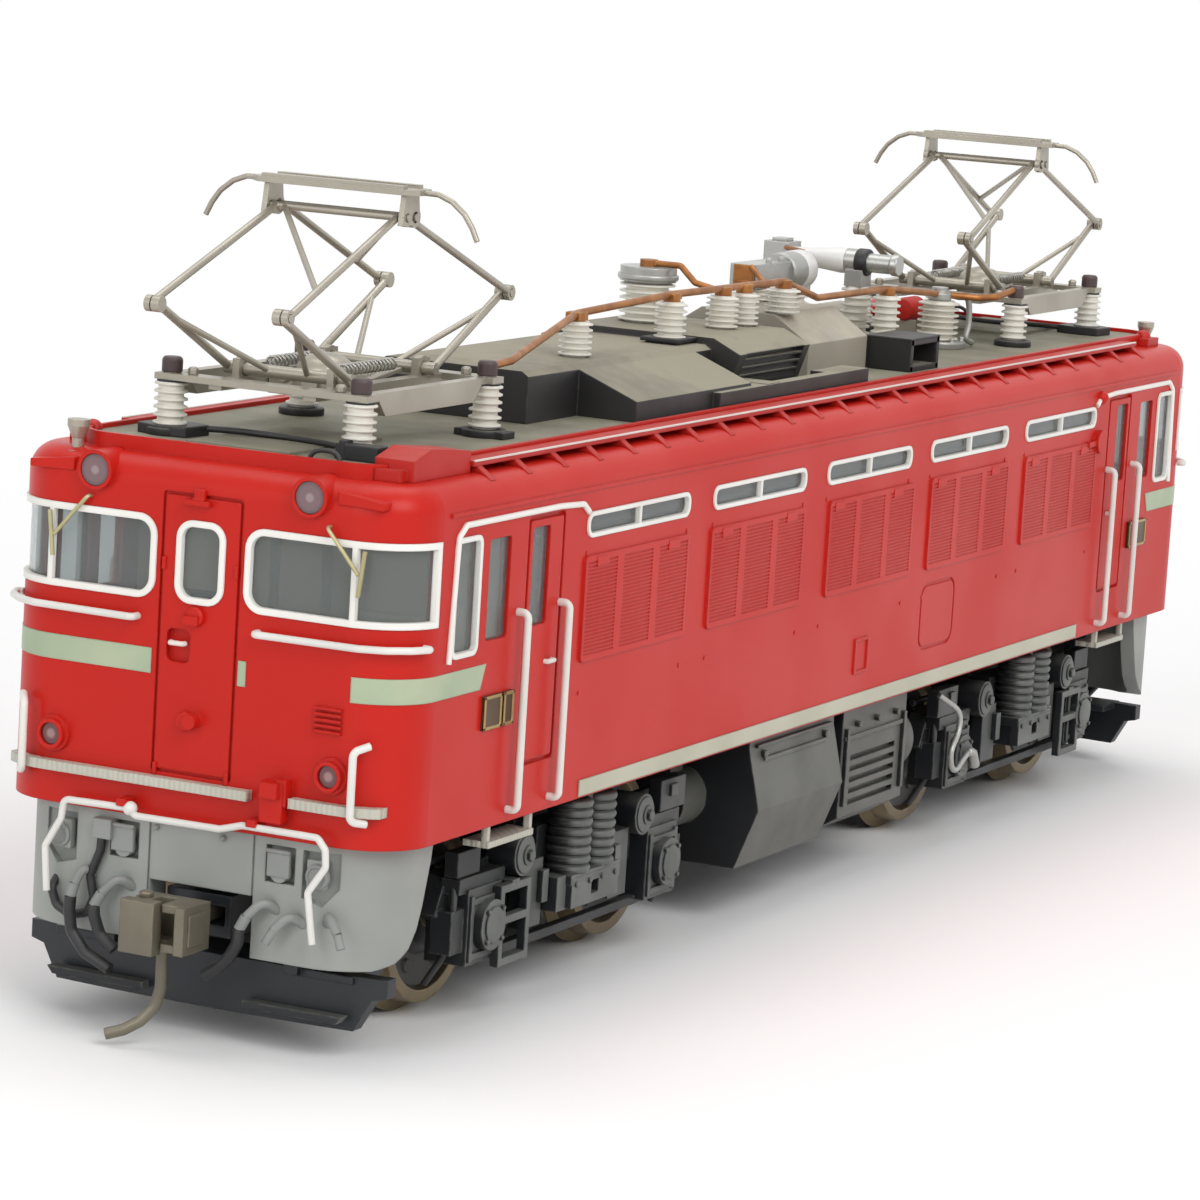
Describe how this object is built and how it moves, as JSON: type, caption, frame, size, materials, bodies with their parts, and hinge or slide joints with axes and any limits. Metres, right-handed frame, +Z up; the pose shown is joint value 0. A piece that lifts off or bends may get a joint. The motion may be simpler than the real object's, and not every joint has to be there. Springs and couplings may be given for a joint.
{
  "type": "model electric locomotive",
  "caption": "Scale model electric locomotive with a red body, grey roof, folding diamond pantographs, swivelling geared bogies, knuckle couplers and end pilots.",
  "frame": {"origin": "middle of the locomotive on the rail plane, at the lowest points of the wheel flanges", "axes": "+X along the track towards the rear cab, +Y across the track, +Z up"},
  "size_m": [0.1772, 0.0376, 0.0641],
  "materials": {
    "shell_red": "satin",
    "roof_grey": "satin",
    "hood_dark": "satin",
    "box_grey": "satin",
    "band_beige": "satin",
    "porcelain": "gloss",
    "copper_bar": "satin",
    "silver_arm": "satin",
    "frame_silver": "satin",
    "clear": "gloss",
    "lens": "gloss",
    "wiper_metal": "satin",
    "underframe_grey": "matte",
    "pilot_grey": "matte",
    "plough_black": "matte",
    "hose_black": "satin",
    "cock_grey": "matte",
    "cast_metal": "matte",
    "board_green": "satin",
    "motor_steel": "satin",
    "shaft_steel": "polished",
    "gear_plastic": "satin",
    "wheel_nickel": "satin",
    "coupler_bronze": "satin",
    "cab_green": "matte",
    "rail_grey": "satin",
    "plate_blank": "satin"
  },
  "bodies": {
    "body": {"body_shell": "shell_red", "window_frames": "frame_silver", "window_glazing": "clear", "roof_deck": "roof_grey", "running_boards": "roof_grey", "roof_hoods": "hood_dark", "roof_boxes": "box_grey", "roof_insulators": "porcelain", "roof_busbars": "copper_bar", "roof_breaker": "porcelain", "whistles": "silver_arm", "handrails": "rail_grey", "cab_steps": "rail_grey", "blank_plates": "plate_blank", "side_band": "band_beige", "lamp_lenses": "lens", "wipers": "wiper_metal", "chassis_frame": "cast_metal", "circuit_board": "board_green", "motor_case": "motor_steel", "underfloor_equipment": "underframe_grey", "end_pilots": "pilot_grey", "snow_ploughs": "plough_black", "uncoupling_levers": "rail_grey", "air_cocks": "cock_grey", "air_hoses": "hose_black", "coupler_pockets": "plough_black", "pantograph_bases": "silver_arm", "cab_interiors": "cab_green"},
    "motor_rotor": {"motor_rotor": "shaft_steel"},
    "front_bogie": {"front_bogie_frame": "underframe_grey", "front_bogie_sides": "underframe_grey", "front_keeper_plate": "plough_black"},
    "front_cardan_shaft": {"front_cardan_shaft": "gear_plastic"},
    "front_input_shaft": {"front_input_shaft": "shaft_steel"},
    "front_worm_shaft": {"front_worm_shaft": "shaft_steel"},
    "front_outer_wheelset": {"front_outer_wheelset": "wheel_nickel"},
    "front_inner_wheelset": {"front_inner_wheelset": "wheel_nickel"},
    "front_coupler": {"front_coupler": "coupler_bronze"},
    "front_knuckle": {"front_knuckle": "coupler_bronze"},
    "front_outer_lower_frame": {"front_outer_lower_frame": "silver_arm"},
    "front_inner_lower_frame": {"front_inner_lower_frame": "silver_arm"},
    "front_outer_upper_frame": {"front_outer_upper_frame": "silver_arm"},
    "front_inner_upper_frame": {"front_inner_upper_frame": "silver_arm"},
    "front_collector_head": {"front_collector_head": "silver_arm"},
    "rear_bogie": {"rear_bogie_frame": "underframe_grey", "rear_bogie_sides": "underframe_grey", "rear_keeper_plate": "plough_black"},
    "rear_cardan_shaft": {"rear_cardan_shaft": "gear_plastic"},
    "rear_input_shaft": {"rear_input_shaft": "shaft_steel"},
    "rear_worm_shaft": {"rear_worm_shaft": "shaft_steel"},
    "rear_outer_wheelset": {"rear_outer_wheelset": "wheel_nickel"},
    "rear_inner_wheelset": {"rear_inner_wheelset": "wheel_nickel"},
    "rear_coupler": {"rear_coupler": "coupler_bronze"},
    "rear_knuckle": {"rear_knuckle": "coupler_bronze"},
    "rear_outer_lower_frame": {"rear_outer_lower_frame": "silver_arm"},
    "rear_inner_lower_frame": {"rear_inner_lower_frame": "silver_arm"},
    "rear_outer_upper_frame": {"rear_outer_upper_frame": "silver_arm"},
    "rear_inner_upper_frame": {"rear_inner_upper_frame": "silver_arm"},
    "rear_collector_head": {"rear_collector_head": "silver_arm"}
  },
  "joints": [
    {"name": "motor_spin", "type": "hinge", "parent": "body", "child": "motor_rotor", "pos_m": [0, 0, 0.02065], "axis": [1, 0, 0], "continuous": true},
    {"name": "front_bogie_swivel", "type": "hinge", "parent": "body", "child": "front_bogie", "pos_m": [-0.0475, 0, 0.019], "axis": [0, 0, 1], "range_deg": [-5, 5]},
    {"name": "front_cardan_spin", "type": "hinge", "parent": "body", "child": "front_cardan_shaft", "pos_m": [-0.03475, 0, 0.02065], "axis": [1, 0, 0], "continuous": true},
    {"name": "front_input_spin", "type": "hinge", "parent": "front_bogie", "child": "front_input_shaft", "pos_m": [-0.0475, 0, 0.02065], "axis": [1, 0, 0], "continuous": true},
    {"name": "front_worm_spin", "type": "hinge", "parent": "front_bogie", "child": "front_worm_shaft", "pos_m": [-0.0475, 0, 0.01465], "axis": [1, 0, 0], "continuous": true},
    {"name": "front_outer_wheel_spin", "type": "hinge", "parent": "front_bogie", "child": "front_outer_wheelset", "pos_m": [-0.06313, 0, 0.0079], "axis": [0, 1, 0], "continuous": true},
    {"name": "front_inner_wheel_spin", "type": "hinge", "parent": "front_bogie", "child": "front_inner_wheelset", "pos_m": [-0.03188, 0, 0.0079], "axis": [0, 1, 0], "continuous": true},
    {"name": "front_coupler_swing", "type": "hinge", "parent": "body", "child": "front_coupler", "pos_m": [-0.077, 0, 0.0096], "axis": [0, 0, 1], "range_deg": [-8, 8], "stiffness_Nm_per_rad": 0.0002},
    {"name": "front_knuckle_open", "type": "hinge", "parent": "front_coupler", "child": "front_knuckle", "pos_m": [-0.0864, 0.00155, 0.0096], "axis": [0, 0, -1], "range_deg": [0, 30], "stiffness_Nm_per_rad": 0.00002},
    {"name": "front_pantograph_raise", "type": "hinge", "parent": "body", "child": "front_outer_lower_frame", "pos_m": [-0.0719, 0, 0.0496], "axis": [0, 1, 0], "range_deg": [-22, 30]},
    {"name": "front_pantograph_inner_arm", "type": "hinge", "parent": "body", "child": "front_inner_lower_frame", "pos_m": [-0.0587, 0, 0.0496], "axis": [0, 1, 0], "range_deg": [-30.05, 22.05]},
    {"name": "front_pantograph_outer_knee", "type": "hinge", "parent": "front_outer_lower_frame", "child": "front_outer_upper_frame", "pos_m": [-0.08273, 0, 0.055], "axis": [0, 1, 0], "range_deg": [-54.03, 39.64]},
    {"name": "front_pantograph_inner_knee", "type": "hinge", "parent": "front_inner_lower_frame", "child": "front_inner_upper_frame", "pos_m": [-0.04787, 0, 0.055], "axis": [0, 1, 0], "range_deg": [-39.64, 54.03]},
    {"name": "front_pantograph_head_level", "type": "hinge", "parent": "front_outer_upper_frame", "child": "front_collector_head", "pos_m": [-0.0659, 0, 0.06166], "axis": [0, 1, 0], "range_deg": [-17.64, 24.04]},
    {"name": "rear_bogie_swivel", "type": "hinge", "parent": "body", "child": "rear_bogie", "pos_m": [0.0475, 0, 0.019], "axis": [0, 0, 1], "range_deg": [-5, 5]},
    {"name": "rear_cardan_spin", "type": "hinge", "parent": "body", "child": "rear_cardan_shaft", "pos_m": [0.03475, 0, 0.02065], "axis": [1, 0, 0], "continuous": true},
    {"name": "rear_input_spin", "type": "hinge", "parent": "rear_bogie", "child": "rear_input_shaft", "pos_m": [0.0475, 0, 0.02065], "axis": [1, 0, 0], "continuous": true},
    {"name": "rear_worm_spin", "type": "hinge", "parent": "rear_bogie", "child": "rear_worm_shaft", "pos_m": [0.0475, 0, 0.01465], "axis": [1, 0, 0], "continuous": true},
    {"name": "rear_outer_wheel_spin", "type": "hinge", "parent": "rear_bogie", "child": "rear_outer_wheelset", "pos_m": [0.06313, 0, 0.0079], "axis": [0, 1, 0], "continuous": true},
    {"name": "rear_inner_wheel_spin", "type": "hinge", "parent": "rear_bogie", "child": "rear_inner_wheelset", "pos_m": [0.03188, 0, 0.0079], "axis": [0, 1, 0], "continuous": true},
    {"name": "rear_coupler_swing", "type": "hinge", "parent": "body", "child": "rear_coupler", "pos_m": [0.077, 0, 0.0096], "axis": [0, 0, 1], "range_deg": [-8, 8], "stiffness_Nm_per_rad": 0.0002},
    {"name": "rear_knuckle_open", "type": "hinge", "parent": "rear_coupler", "child": "rear_knuckle", "pos_m": [0.0864, -0.00155, 0.0096], "axis": [0, 0, -1], "range_deg": [0, 30], "stiffness_Nm_per_rad": 0.00002},
    {"name": "rear_pantograph_raise", "type": "hinge", "parent": "body", "child": "rear_outer_lower_frame", "pos_m": [0.0719, 0, 0.0496], "axis": [0, -1, 0], "range_deg": [-22, 30]},
    {"name": "rear_pantograph_inner_arm", "type": "hinge", "parent": "body", "child": "rear_inner_lower_frame", "pos_m": [0.0587, 0, 0.0496], "axis": [0, -1, 0], "range_deg": [-30.05, 22.05]},
    {"name": "rear_pantograph_outer_knee", "type": "hinge", "parent": "rear_outer_lower_frame", "child": "rear_outer_upper_frame", "pos_m": [0.08273, 0, 0.055], "axis": [0, -1, 0], "range_deg": [-54.03, 39.64]},
    {"name": "rear_pantograph_inner_knee", "type": "hinge", "parent": "rear_inner_lower_frame", "child": "rear_inner_upper_frame", "pos_m": [0.04787, 0, 0.055], "axis": [0, -1, 0], "range_deg": [-39.64, 54.03]},
    {"name": "rear_pantograph_head_level", "type": "hinge", "parent": "rear_outer_upper_frame", "child": "rear_collector_head", "pos_m": [0.0659, 0, 0.06166], "axis": [0, -1, 0], "range_deg": [-17.64, 24.04]}
  ],
  "couplings": [
    {"joint": "front_outer_wheel_spin", "follows": "motor_spin", "ratio": 0.055556},
    {"joint": "front_inner_wheel_spin", "follows": "motor_spin", "ratio": 0.055556},
    {"joint": "front_cardan_spin", "follows": "motor_spin", "ratio": 1},
    {"joint": "front_input_spin", "follows": "motor_spin", "ratio": 1},
    {"joint": "front_worm_spin", "follows": "motor_spin", "ratio": -1},
    {"joint": "front_pantograph_inner_arm", "follows": "front_pantograph_raise", "ratio": -1},
    {"joint": "front_pantograph_outer_knee", "follows": "front_pantograph_raise", "ratio": -1.7995},
    {"joint": "front_pantograph_inner_knee", "follows": "front_pantograph_raise", "ratio": 1.7995},
    {"joint": "front_pantograph_head_level", "follows": "front_pantograph_raise", "ratio": 0.7995},
    {"joint": "rear_outer_wheel_spin", "follows": "motor_spin", "ratio": 0.055556},
    {"joint": "rear_inner_wheel_spin", "follows": "motor_spin", "ratio": 0.055556},
    {"joint": "rear_cardan_spin", "follows": "motor_spin", "ratio": 1},
    {"joint": "rear_input_spin", "follows": "motor_spin", "ratio": 1},
    {"joint": "rear_worm_spin", "follows": "motor_spin", "ratio": -1},
    {"joint": "rear_pantograph_inner_arm", "follows": "rear_pantograph_raise", "ratio": -1},
    {"joint": "rear_pantograph_outer_knee", "follows": "rear_pantograph_raise", "ratio": -1.7995},
    {"joint": "rear_pantograph_inner_knee", "follows": "rear_pantograph_raise", "ratio": 1.7995},
    {"joint": "rear_pantograph_head_level", "follows": "rear_pantograph_raise", "ratio": 0.7995}
  ]
}
